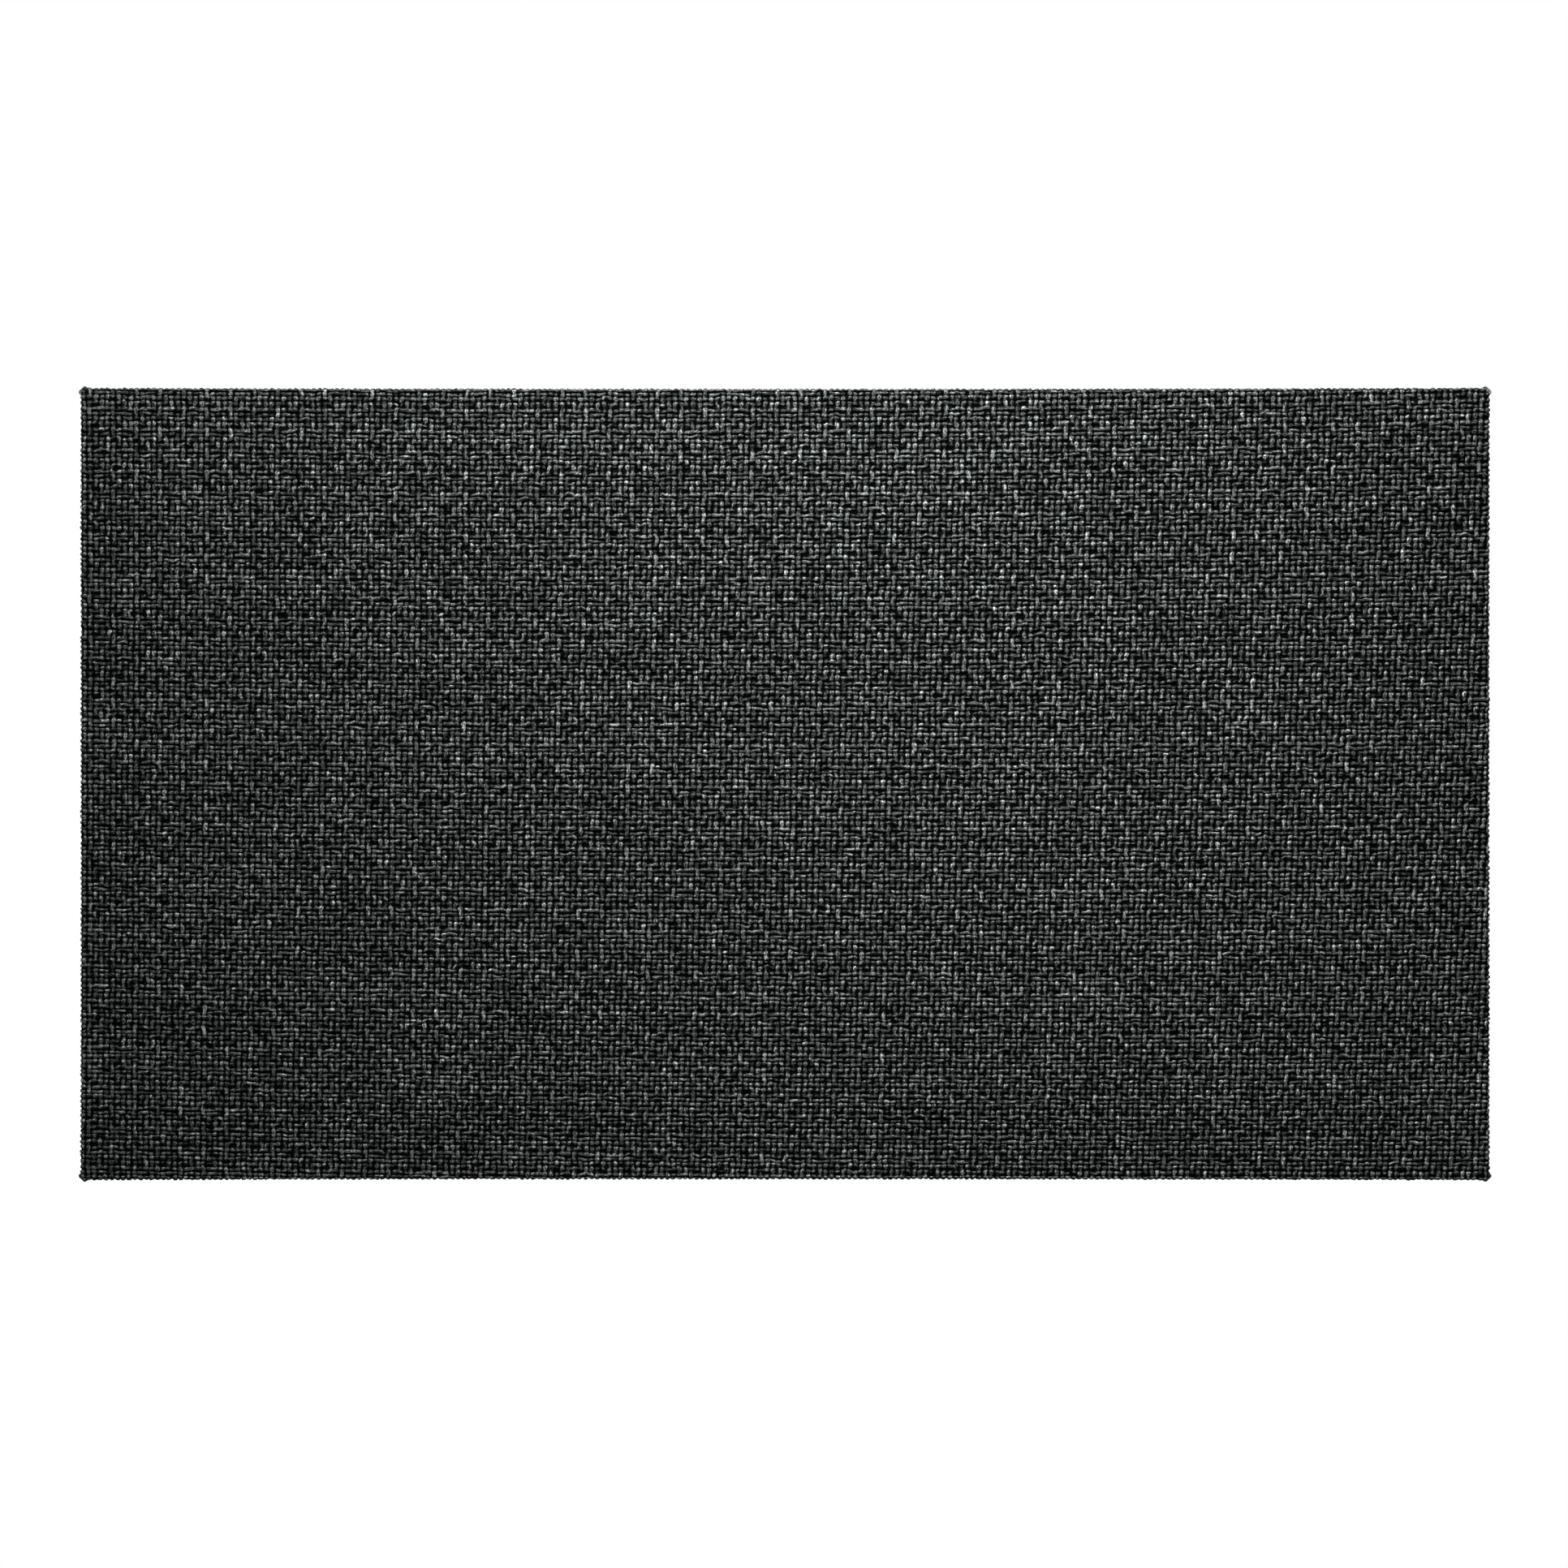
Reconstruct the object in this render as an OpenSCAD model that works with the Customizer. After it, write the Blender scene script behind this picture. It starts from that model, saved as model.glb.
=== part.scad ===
// Upholstered wall punch pad, hung on the wall by two pairs of interlocking Z cleats.
// Millimetres. X runs to the right of someone who faces the pad, Z runs up, and the pad faces -Y.
// The origin is the centre of the wall screw pattern, on the wall's surface.

/* [Face] */
// Width of the striking face
face_w = 400; // [380:10:600]
// Height of the striking face
face_h = 225; // [225:5:340]
// Height of the face's centre above the centre of the wall screws
face_rise = 18; // [17:1:20]

/* [Cover] */
// Thickness of the woven cover
cover_t = 1.2; // [1:0.1:2]
// Width of the hem that is folded onto the back
hem_w = 28; // [24:1:28]
// Radius of the cover's outer edges
edge_r = 1.5; // [0.5:0.1:2]
// Thickness of the dust cover on the back
dust_t = 0.8; // [0.4:0.1:1]

/* [Layers] */
// Thickness of the plywood board
board_t = 12; // [12:1:18]
// Thickness of the dense foam on the board
base_foam_t = 12; // [6:1:20]
// Thickness of the bonded crumb foam in the middle
core_foam_t = 20; // [10:1:40]
// Thickness of the soft foam near the face
face_foam_t = 8; // [4:1:15]
// Thickness of the felt under the cover
felt_t = 2.8; // [1:0.1:6]

/* [Cleats] */
// Thickness of the cleats' aluminium
cleat_t = 3; // [2.5:0.1:3]
// Height of the flat flange that takes the screws
flange_h = 18; // [16:1:18]
// Height of the lip that hooks into the other cleat
lip_h = 12; // [8:1:12]
// Length of the wall cleats
wall_cleat_l = 312; // [306:2:330]
// Length of the pad cleats
pad_cleat_l = 290; // [280:2:290]
// Play on each side of a lip in its slot
slot_play = 0.4; // [0.2:0.1:0.5]
// Distance between the upper and the lower row of wall screws
row_gap = 110; // [104:2:112]
// Distance between the outer screws of a row
outer_gap = 250; // [220:5:260]
// Distance between the inner screws of a row
inner_gap = 90; // [60:5:120]

/* [Bumpers] */
// Diameter of a bumper where it meets the hem
bumper_d = 14; // [12:1:14]
// Distance from the face's edge to a bumper's centre
bumper_inset = 11; // [10:1:12]

/* [Staples] */
// Width of a staple
staple_w = 10; // [8:1:12]
// Thickness of the staple wire
staple_wire = 0.6; // [0.4:0.1:0.8]
// Length of a staple's legs
staple_leg = 7; // [5:1:8]
// Distance between the staples of a row
staple_pitch = 26; // [20:1:40]

/* [Hidden] */
$fn = 48;

// Small gaps that keep neighbouring pieces apart
fit = 0.1;
sheet_fit = 0.4;

// Cleat section, from the surface that a cleat is screwed to
web_t = cleat_t;
slot_w = cleat_t + 2 * slot_play;
cleat_depth = slot_w + cleat_t;
cleat_h = flange_h + web_t + lip_h;
lip_chamfer = 0.8;

// Depths along Y, from the wall towards the face
back_y = -(cleat_depth + slot_play);
board_back_y = back_y - dust_t;
hem_y = board_back_y + cover_t;
dust_y = hem_y + dust_t;
board_front_y = board_back_y - board_t;
base_front_y = board_front_y - base_foam_t;
core_front_y = base_front_y - core_foam_t;
foam_front_y = core_front_y - face_foam_t;
felt_front_y = foam_front_y - felt_t;
face_y = felt_front_y - cover_t;

// Outlines across X and Z
core_w = face_w - 2 * (cover_t + fit);
core_h = face_h - 2 * (cover_t + fit);
window_w = face_w - 2 * hem_w;
window_h = face_h - 2 * hem_w;
dust_overlap = 11;
dust_w = window_w + 2 * dust_overlap;
dust_h = window_h + 2 * dust_overlap;

// Heights of the cleats
wall_cleat_z = -flange_h / 2;
hooked_z = wall_cleat_z + cleat_h + flange_h + web_t;
row_zs = [row_gap / 2, -row_gap / 2];
screw_xs = [-outer_gap / 2, -inner_gap / 2, inner_gap / 2, outer_gap / 2];
pad_screw_drop = flange_h / 2;

// Wall screw holes, for countersunk screws
wall_hole_r = 2.75;
wall_sink_r = 5.2;
wall_sink_h = 1.8;

// Countersunk socket screws through the pad cleats
screw_r = 2.45;
screw_l = 15.6;
head_r = 4.8;
head_h = 2.4;
socket_r = 1.75;
socket_h = 1.7;
pad_hole_r = 2.75;

// Tee nuts in the board
nut_bore_r = 2.55;
nut_barrel_r = 3.3;
nut_barrel_l = 9;
nut_flange_r = 8;
nut_flange_t = 1.2;
prong_w = 1.6;
prong_t = 0.8;
prong_l = 5;

// End stops in the upper wall cleat's slot
stop_l = 8;
stop_play = 1;
stop_screw_r = 1.4;
stop_hole_r = 1.5;
stop_head_r = 2.6;
stop_head_h = 1.2;

// Bumpers and their screws
bumper_h = -hem_y;
bumper_tip_r = bumper_d / 2 - 1;
bumper_bore_r = 1.8;
bumper_recess_r = 3.8;
bumper_recess_h = 3.2;
bumper_screw_r = 1.6;
bumper_head_r = 3.4;
bumper_head_h = 2;
bumper_screw_l = 12;
cross_l = 4;
cross_w = 0.9;
cross_h = 1.1;

// Staple rows, measured from the face's outline
hem_row_inset = 8;
dust_row_inset = hem_w - dust_overlap + 4.5;
row_end_gap = 30;

// A block centred on the face across X and Z, between two depths
module slab(w, h, front_y, rear_y) {
    translate([-w / 2, front_y, face_rise - h / 2]) cube([w, rear_y - front_y, h]);
}

// A round bar or bore that starts at a point and runs towards the face
module bar(x, y, z, length, r_start, r_end) {
    translate([x, y, z]) rotate([90, 0, 0]) cylinder(h = length, r1 = r_start, r2 = r_end);
}

// Section of a cleat, with Y across and Z up, from its screwed surface
module cleat_section() {
    lip_top = cleat_h;
    polygon([
        [0, 0],
        [0, flange_h + web_t],
        [-slot_w, flange_h + web_t],
        [-slot_w, lip_top - lip_chamfer],
        [-slot_w - lip_chamfer, lip_top],
        [-cleat_depth + lip_chamfer, lip_top],
        [-cleat_depth, lip_top - lip_chamfer],
        [-cleat_depth, flange_h + lip_chamfer],
        [-cleat_depth + lip_chamfer, flange_h],
        [-cleat_t, flange_h],
        [-cleat_t, 0]
    ]);
}

module cleat_bar(length) {
    translate([-length / 2, 0, 0]) rotate([90, 0, 90]) linear_extrude(length) cleat_section();
}

// A cleat on the wall, its screw holes at the height of one row
module wall_cleat(row_z, stop_holes) {
    color("silver") difference() {
        translate([0, 0, row_z + wall_cleat_z]) cleat_bar(wall_cleat_l);
        for (x = screw_xs) {
            bar(x, 1, row_z, cleat_t + 2, wall_hole_r, wall_hole_r);
            bar(x, -cleat_t + wall_sink_h, row_z, wall_sink_h, wall_hole_r, wall_sink_r);
        }
        if (stop_holes) for (side = [-1, 1]) {
            bar(side * stop_x(), -slot_w + 1, stop_z(row_z), cleat_t + 2, stop_hole_r, stop_hole_r);
            bar(side * stop_x(), -cleat_depth + stop_head_h, stop_z(row_z), stop_head_h, stop_hole_r,
                stop_head_r);
        }
    }
}

function stop_x() = pad_cleat_l / 2 + stop_play + stop_l / 2;
function stop_z(row_z) = row_z + wall_cleat_z + cleat_h - lip_h / 2;

// A nylon block in the slot, beyond the end of the pad's lip
module end_stop(side) {
    z_low = row_zs[0] + wall_cleat_z + flange_h + web_t;
    color("dimgray") difference() {
        translate([side * stop_x() - stop_l / 2, -slot_w + fit, z_low])
            cube([stop_l, slot_w - 2 * fit, lip_h - fit]);
        bar(side * stop_x(), 1, stop_z(row_zs[0]), slot_w + 2, stop_screw_r + fit, stop_screw_r + fit);
    }
}

module end_stop_screws() {
    color("gainsboro") for (side = [-1, 1]) {
        bar(side * stop_x(), -slot_play, stop_z(row_zs[0]), cleat_depth - slot_play - fit, stop_screw_r,
            stop_screw_r);
        bar(side * stop_x(), -cleat_depth + stop_head_h - fit, stop_z(row_zs[0]), stop_head_h - fit,
            stop_screw_r, stop_head_r - 2 * fit);
    }
}

// Height of the top of a pad cleat that hangs on the wall cleat of one row
function pad_cleat_top(row_z) = row_z + hooked_z;
function pad_screw_z(row_z) = pad_cleat_top(row_z) - pad_screw_drop;

// The same section turned over, so that its lip drops behind the wall cleat's lip
module pad_cleat(row_z) {
    color("silver") difference() {
        translate([0, back_y, pad_cleat_top(row_z)]) rotate([180, 0, 0]) cleat_bar(pad_cleat_l);
        for (x = screw_xs) {
            bar(x, back_y + cleat_t + 1, pad_screw_z(row_z), cleat_t + 2, pad_hole_r, pad_hole_r);
            bar(x, back_y + cleat_t, pad_screw_z(row_z), head_h, head_r + fit, pad_hole_r);
        }
    }
}

module cleat_screw(x, z) {
    difference() {
        union() {
            bar(x, back_y + cleat_t - fit, z, head_h, head_r, screw_r);
            bar(x, back_y + cleat_t - 1, z, screw_l - 1, screw_r, screw_r);
        }
        translate([x, back_y + cleat_t, z]) rotate([90, 0, 0]) cylinder(h = socket_h, r = socket_r, $fn = 6);
    }
}

module cleat_screws() {
    color("gainsboro") for (row_z = row_zs, x = screw_xs) cleat_screw(x, pad_screw_z(row_z));
}

// A pronged nut pressed into the board from the foam's side
module tee_nut(x, z) {
    flange_y = board_front_y + nut_flange_t;
    difference() {
        union() {
            bar(x, flange_y, z, nut_flange_t, nut_flange_r, nut_flange_r);
            bar(x, flange_y + nut_barrel_l, z, nut_barrel_l + nut_flange_t / 2, nut_barrel_r, nut_barrel_r);
            for (turn = [0 : 90 : 270])
                translate([x, flange_y, z]) rotate([0, turn, 0])
                    translate([nut_flange_r - prong_t, -nut_flange_t / 2, -prong_w / 2])
                        cube([prong_t - fit, prong_l, prong_w]);
        }
        bar(x, board_back_y, z, board_t + 1, nut_bore_r, nut_bore_r);
    }
}

module tee_nuts() {
    color("darkkhaki") for (row_z = row_zs, x = screw_xs) tee_nut(x, pad_screw_z(row_z));
}

module backing_board() {
    recess = nut_flange_t + fit;
    color("burlywood") difference() {
        slab(core_w, core_h, board_front_y, board_back_y);
        for (row_z = row_zs, x = screw_xs) {
            bar(x, board_back_y + 1, pad_screw_z(row_z), board_t + 2, nut_barrel_r + fit, nut_barrel_r + fit);
            bar(x, board_front_y + recess, pad_screw_z(row_z), recess + 1, nut_flange_r + fit,
                nut_flange_r + fit);
        }
    }
}

module base_foam() {
    color("darkslategray") slab(core_w, core_h, base_front_y, board_front_y);
}

module core_foam() {
    color("slategray") slab(core_w, core_h, core_front_y, base_front_y);
}

module face_foam() {
    color("lightgray") slab(core_w, core_h, foam_front_y, core_front_y);
}

module felt_wadding() {
    color("whitesmoke") slab(core_w, core_h, felt_front_y, foam_front_y);
}

// One cloth shell: the face, four sides and the hem folded onto the back
module woven_cover() {
    color("#35383a") difference() {
        hull() for (x = [-1, 1], y = [face_y + edge_r, hem_y - edge_r], z = [-1, 1])
            translate([x * (face_w / 2 - edge_r), y, face_rise + z * (face_h / 2 - edge_r)])
                sphere(r = edge_r, $fn = 24);
        slab(core_w + 2 * fit, core_h + 2 * fit, felt_front_y, board_back_y);
        slab(window_w, window_h, board_back_y - 1, hem_y + 1);
    }
}

// A sheet that lies in the hem's window and steps up onto the hem
module dust_cover() {
    inner_w = window_w - 2 * sheet_fit;
    inner_h = window_h - 2 * sheet_fit;
    color("#1c1c1e") difference() {
        union() {
            slab(inner_w, inner_h, board_back_y, dust_y);
            slab(dust_w, dust_h, hem_y, dust_y);
        }
        slab(inner_w - 2 * dust_t, inner_h - 2 * dust_t, back_y, dust_y + 1);
        for (row_z = row_zs, x = screw_xs)
            bar(x, dust_y, pad_screw_z(row_z), dust_y - board_back_y + 1, pad_hole_r, pad_hole_r);
    }
}

// A staple on a surface, with its crown along X or, if upright, along Z
module staple(x, y, z, upright) {
    translate([x, y, z]) rotate([0, upright ? 90 : 0, 0]) {
        translate([-staple_w / 2, 0, -staple_wire / 2]) cube([staple_w, staple_wire, staple_wire]);
        for (side = [-1, 1])
            translate([side * (staple_w - staple_wire) / 2 - staple_wire / 2, -staple_leg, -staple_wire / 2])
                cube([staple_wire, staple_leg + staple_wire, staple_wire]);
    }
}

// Evenly spaced places along a row of a given length, centred on zero
function row_places(length) =
    let (count = floor(length / staple_pitch))
    [for (i = [0 : count]) (i / count - 0.5) * length];

// Staples along all four edges, set in from the face's outline
module staple_rows(inset, surface_y) {
    half_w = face_w / 2 - inset;
    half_h = face_h / 2 - inset;
    color("silver") for (side = [-1, 1]) {
        for (x = row_places(2 * (face_w / 2 - row_end_gap)))
            staple(x, surface_y, face_rise + side * half_h, false);
        for (z = row_places(2 * (face_h / 2 - row_end_gap)))
            staple(side * half_w, surface_y, face_rise + z, true);
    }
}

// A rubber foot between the pad's corner and the wall
module bumper(side_x, side_z) {
    x = side_x * (face_w / 2 - bumper_inset);
    z = face_rise + side_z * (face_h / 2 - bumper_inset);
    color("#202020") difference() {
        bar(x, 0, z, bumper_h, bumper_tip_r, bumper_d / 2);
        bar(x, 1, z, bumper_h + 2, bumper_bore_r, bumper_bore_r);
        bar(x, 1, z, bumper_recess_h + 1, bumper_recess_r, bumper_recess_r);
    }
}

// A pan head screw with a cross recess, seen from the wall
module bumper_screw(x, z) {
    head_y = -bumper_recess_h + bumper_head_h;
    difference() {
        union() {
            bar(x, head_y, z, bumper_head_h, bumper_head_r, bumper_head_r);
            bar(x, -bumper_recess_h + 1, z, bumper_screw_l, bumper_screw_r, bumper_screw_r);
        }
        for (turn = [45, 135])
            translate([x, head_y, z]) rotate([0, turn, 0])
                translate([-cross_l / 2, -cross_h, -cross_w / 2]) cube([cross_l, cross_h + 1, cross_w]);
    }
}

module bumper_screws() {
    color("gainsboro") for (side_x = [-1, 1], side_z = [-1, 1])
        bumper_screw(side_x * (face_w / 2 - bumper_inset), face_rise + side_z * (face_h / 2 - bumper_inset));
}

wall_cleat(row_zs[0], true);  // wall_cleat_upper
wall_cleat(row_zs[1], false);  // wall_cleat_lower
end_stop(-1);  // end_stop_left
end_stop(1);  // end_stop_right
end_stop_screws();
backing_board();
base_foam();
core_foam();
face_foam();
felt_wadding();
woven_cover();
staple_rows(hem_row_inset, hem_y);  // cover_staples
dust_cover();
staple_rows(dust_row_inset, dust_y);  // dust_cover_staples
pad_cleat(row_zs[0]);  // pad_cleat_upper
pad_cleat(row_zs[1]);  // pad_cleat_lower
cleat_screws();
tee_nuts();
bumper(-1, 1);  // bumper_upper_left
bumper(1, 1);  // bumper_upper_right
bumper(-1, -1);  // bumper_lower_left
bumper(1, -1);  // bumper_lower_right
bumper_screws();
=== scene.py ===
"""Looks of the wall punch pad: a woven cover over foam and plywood, hung on aluminium cleats.

Metres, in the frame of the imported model: +X right, +Z up, the pad faces -Y.
The cover is one cloth. A coarse cloth simulation gives its crown, and its yarns are then laid on
it as relief: a grid that follows the yarns is wrapped round the pad like the real cut.
"""
import math

import bmesh
import bpy
import numpy as np
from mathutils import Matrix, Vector
from mathutils.kdtree import KDTree


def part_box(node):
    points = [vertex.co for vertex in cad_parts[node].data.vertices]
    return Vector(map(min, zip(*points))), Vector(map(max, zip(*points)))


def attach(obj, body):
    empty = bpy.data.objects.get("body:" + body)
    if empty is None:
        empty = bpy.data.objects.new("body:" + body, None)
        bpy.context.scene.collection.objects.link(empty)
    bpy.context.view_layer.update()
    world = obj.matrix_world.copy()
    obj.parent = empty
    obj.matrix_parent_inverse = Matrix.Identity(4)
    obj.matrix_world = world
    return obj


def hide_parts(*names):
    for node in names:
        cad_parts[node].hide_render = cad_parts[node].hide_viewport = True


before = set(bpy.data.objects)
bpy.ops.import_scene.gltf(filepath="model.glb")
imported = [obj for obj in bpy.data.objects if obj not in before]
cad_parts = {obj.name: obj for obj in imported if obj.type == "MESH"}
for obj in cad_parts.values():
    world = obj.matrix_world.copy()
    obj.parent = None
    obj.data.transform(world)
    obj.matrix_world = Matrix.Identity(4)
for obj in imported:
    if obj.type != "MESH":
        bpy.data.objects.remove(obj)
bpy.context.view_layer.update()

MM = 0.001
PAD = "pad"
SEED = 11


def add_object(name, data):
    made = bpy.data.objects.new(name, data)
    bpy.context.collection.objects.link(made)
    return made


# ---------------------------------------- sizes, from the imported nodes

cover_low, cover_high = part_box("woven_cover")
dust_low, dust_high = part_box("dust_cover")
board_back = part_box("backing_board")[1].y

HALF_W = (cover_high.x - cover_low.x) / 2
HALF_H = (cover_high.z - cover_low.z) / 2
CENTRE_X = (cover_high.x + cover_low.x) / 2
CENTRE_Z = (cover_high.z + cover_low.z) / 2
FRONT_Y = cover_low.y
HEM_Y = cover_high.y
DEPTH = HEM_Y - FRONT_Y
HEM_W = 28 * MM
HEM_THICK = 1.2 * MM
PLY = 0.93 * MM  # thickness of one veneer of the board
BUMPERS = ["bumper_upper_left", "bumper_upper_right", "bumper_lower_left", "bumper_lower_right"]
EDGE_R = 1.0 * MM

# ---------------------------------------- the cloth

# The draft, from the top pick down: W where the warp is on top and w where it already sinks, f
# where the weft is on top and g where it sinks between two warp floats.
DRAFT = ["fWff", "gwff", "WfWf", "WfgW"]
PICK_SHIFT = [-0.25, -0.15, 0.0, -0.06]  # how far each pick of the draft is beaten out of place
ENDS = 594.0  # warp ends per metre across the middle of the face
PICKS = 679.0  # picks per metre up the middle of the face
# How the cloth was pulled out of square when it was stretched over the pad
WARP_LEAN, WARP_GATHER, WARP_FAN, WARP_CURVE = -12.3, -37.0, -57.0, 14.0
WEFT_LEAN, WEFT_BOW, WEFT_FAN, WEFT_GATHER = 1.1, -23.0, -45.0, -76.0
PHASES = np.array([0.0, 0.28, 0.5, 0.72])  # where the grid samples each yarn's pitch
RELIEF = 0.82 * MM  # from the top of a float to the bottom of a gap
WARP_HALF, WEFT_HALF = 0.43, 0.38  # half a yarn's width, as a share of its pitch
# As shares of the relief: how far a yarn sinks where it passes under another one, how far its
# sides drop, and how far the weft lies below the warp
SINK, SIDE_DROP, WEFT_DROP = 0.90, 0.85, 0.05
WEFT_TONE = 0.68  # the weft yarn is darker than the warp


def yarn_count(s, t):
    """The warp and weft count at a point of the cut, measured from the face's centre."""
    u = (ENDS + WARP_GATHER * s + WARP_FAN * t) * s + (WARP_LEAN + WARP_CURVE * t) * t
    v = (PICKS + WEFT_GATHER * t + WEFT_FAN * s) * t + (WEFT_LEAN + WEFT_BOW * s) * s
    return u, v


def cut_place(u, v):
    """The point of the cut where two yarns cross: yarn_count turned round, by iteration."""
    s, t = u / ENDS, v / PICKS
    for _ in range(8):
        found_u, found_v = yarn_count(s, t)
        s = s + (u - found_u) / ENDS
        t = t + (v - found_v) / PICKS
    return s, t


def smooth_noise(random, rows, columns, knot):
    """Noise that is independent from column to column and smooth down each one."""
    knots = random.normal(size=(int(rows / knot) + 3, columns))
    at = np.arange(rows) / knot
    low = at.astype(int)
    share = (at - low)[:, None]
    share = share * share * (3 - 2 * share)
    return knots[low] * (1 - share) + knots[low + 1] * share


def along_yarn(centres, edges):
    """Heights along one set of yarns, from their values at cell centres and at cell edges.

    Rows are the cells that a yarn crosses; edges has one row more. The result has one row for
    each phase of each cell.
    """
    rise = np.sin(np.pi * PHASES)[None, :, None]
    near = np.where((PHASES < 0.5)[None, :, None], edges[:-1, None, :], edges[1:, None, :])
    made = near + (centres[:, None, :] - near) * rise
    return made.reshape(-1, centres.shape[1])


def across_yarn(half_widths):
    """How far a yarn's surface drops towards its sides: 0 on top, 1 in the gap."""
    off = (PHASES[None, :] - 0.5) / half_widths[:, None]
    return (1 - np.sqrt(np.clip(1 - off * off, 0, 1))).reshape(-1)


def weave(first_u, ends, first_v, picks):
    """Relief height (0 to -1), whether the warp is on top, and each point's yarn tone."""
    random = np.random.default_rng(SEED)
    rows, columns = np.arange(first_v, first_v + picks), np.arange(first_u, first_u + ends)
    draft = np.array([list(row) for row in DRAFT[::-1]])
    plan = draft[rows % len(DRAFT)][:, columns % len(DRAFT)]
    warp_up = (plan == "W") | (plan == "w")
    weft_up = np.where(plan == "f", 1.0, np.where(plan == "g", 0.84, 0.0))

    # Along each warp end, down the rows: scalloped a little where a float spans two picks
    top = np.where(plan == "W", 1.0, np.where(plan == "w", 0.82, 0.0))
    top = top * (1 + 0.10 * random.normal(size=plan.shape))
    both = warp_up[1:] & warp_up[:-1]
    one = warp_up[1:] ^ warp_up[:-1]
    sinking = (plan == "w")[:-1]
    edges = np.where(both, np.where(sinking, 0.66, 0.30), np.where(one, 0.48, 0.0))
    edges = np.vstack([edges[:1], edges, edges[-1:]])
    warp_z = along_yarn(top, edges)  # (picks * 4, ends)

    # Along each pick, across the columns: every float is drawn in between two ends
    top = weft_up * (1 + 0.10 * random.normal(size=plan.shape))
    lower = np.minimum(weft_up[:, 1:], weft_up[:, :-1])
    edges = np.where(lower > 0, 0.60 * lower, 0.42 * np.maximum(weft_up[:, 1:], weft_up[:, :-1]))
    edges = edges * (1 + 0.25 * random.normal(size=edges.shape))
    edges = np.hstack([edges[:, :1], edges, edges[:, -1:]])
    weft_z = along_yarn(top.T, edges.T).T  # (picks, ends * 4)

    warp_drop = SIDE_DROP * across_yarn(WARP_HALF * (1 + 0.07 * random.normal(size=ends)))
    weft_drop = SIDE_DROP * across_yarn(WEFT_HALF * (1 + 0.09 * random.normal(size=picks)))
    each = len(PHASES)
    warp_h = -SINK * (1 - np.repeat(warp_z, each, axis=1)) - warp_drop[None, :]
    weft_h = -SINK * (1 - np.repeat(weft_z, each, axis=0)) - weft_drop[:, None] - WEFT_DROP
    height = np.clip(np.maximum(warp_h, weft_h), -1, 0.12)
    warp_on_top = warp_h > weft_h

    # Melange yarn: each float has its own tone, on a tone that drifts along the yarn
    def tones(down, across, knot):
        yarn = 0.04 * random.normal(size=across)[None, :]
        drift = 0.06 * smooth_noise(random, down, across, knot)
        bead = 0.40 * clip_to(random.normal(size=(down, across)), 1.8)
        return np.exp(yarn + drift + bead)

    warp_tone = tones(picks, ends, 7)
    held = plan == "w"
    warp_tone = np.where(held, np.roll(warp_tone, -1, axis=0), warp_tone)
    weft_tone = WEFT_TONE * tones(ends, picks, 9).T
    spread = np.repeat(np.repeat(np.stack([warp_tone, weft_tone]), each, axis=1), each, axis=2)
    tone = np.where(warp_on_top, spread[0], spread[1])
    return height, warp_on_top, tone


def clip_to(value, limit):
    return np.clip(value, -limit, limit)


def step(low, high, value):
    share = np.clip((value - low) / (high - low), 0, 1)
    return share * share * (3 - 2 * share)


def wrap(s, t):
    """Where a point of the cut lies once the cloth is folded round the pad, and its normal.

    Only one of s and t is past the face's edge: the four corners of the cut are taken out.
    """
    past_s = np.clip(np.abs(s) - HALF_W, 0, None)
    past_t = np.clip(np.abs(t) - HALF_H, 0, None)
    down = np.minimum(past_s + past_t, DEPTH)
    x = np.sign(s) * (np.minimum(np.abs(s), HALF_W) - np.clip(past_s - DEPTH, 0, None))
    z = np.sign(t) * (np.minimum(np.abs(t), HALF_H) - np.clip(past_t - DEPTH, 0, None))
    sharp = np.stack([x, FRONT_Y + down, z], axis=-1)
    low = np.array([-HALF_W, FRONT_Y, -HALF_H]) + EDGE_R
    high = np.array([HALF_W, HEM_Y, HALF_H]) - EDGE_R
    inner = np.clip(sharp, low, high)
    normal = sharp - inner
    normal /= np.linalg.norm(normal, axis=-1, keepdims=True)
    place = inner + EDGE_R * normal
    place[..., 0] += CENTRE_X
    place[..., 2] += CENTRE_Z
    return place, normal


def fold_limits(s, t, tall):
    """The cut's point on the side flaps (tall False) or on the top and bottom flaps (tall True).

    A flap ends at the corner seam, and its hem at the mitre. The last value is the distance to
    that seam, which only counts past the face's edge.
    """
    out, half_out, side, half_side = (t, HALF_H, s, HALF_W) if tall else (s, HALF_W, t, HALF_H)
    out = clip_to(out, half_out + DEPTH + HEM_W)
    past = np.abs(out) - half_out
    limit = half_side - np.clip(past - DEPTH, 0, None)
    near = np.clip(limit - np.abs(side), 0, None)
    side = np.where(past > 0, clip_to(side, limit), side)
    return (side, out, near, past) if tall else (out, side, near, past)


def flap_quads(s, t):
    """For each cell of the grid: is it on the face or a side flap, and is it on a tall flap."""
    cells = [a[r:a.shape[0] - 1 + r, c:a.shape[1] - 1 + c] for a in (s, t) for r in (0, 1) for c in (0, 1)]
    s_mean, t_mean = np.abs(sum(cells[:4]) / 4), np.abs(sum(cells[4:]) / 4)
    s_low = np.min(np.abs(cells[:4]), axis=0)
    t_low = np.min(np.abs(cells[4:]), axis=0)
    end = DEPTH + HEM_W
    inside_mitre = t_low < HALF_H - np.clip(s_low - HALF_W - DEPTH, 0, None)
    wide = np.where(s_mean > HALF_W, inside_mitre, t_mean <= HALF_H)
    tall = (t_mean > HALF_H) & (s_low < HALF_W - np.clip(t_low - HALF_H - DEPTH, 0, None))
    return wide & (s_low < HALF_W + end), tall & (t_low < HALF_H + end)


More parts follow.
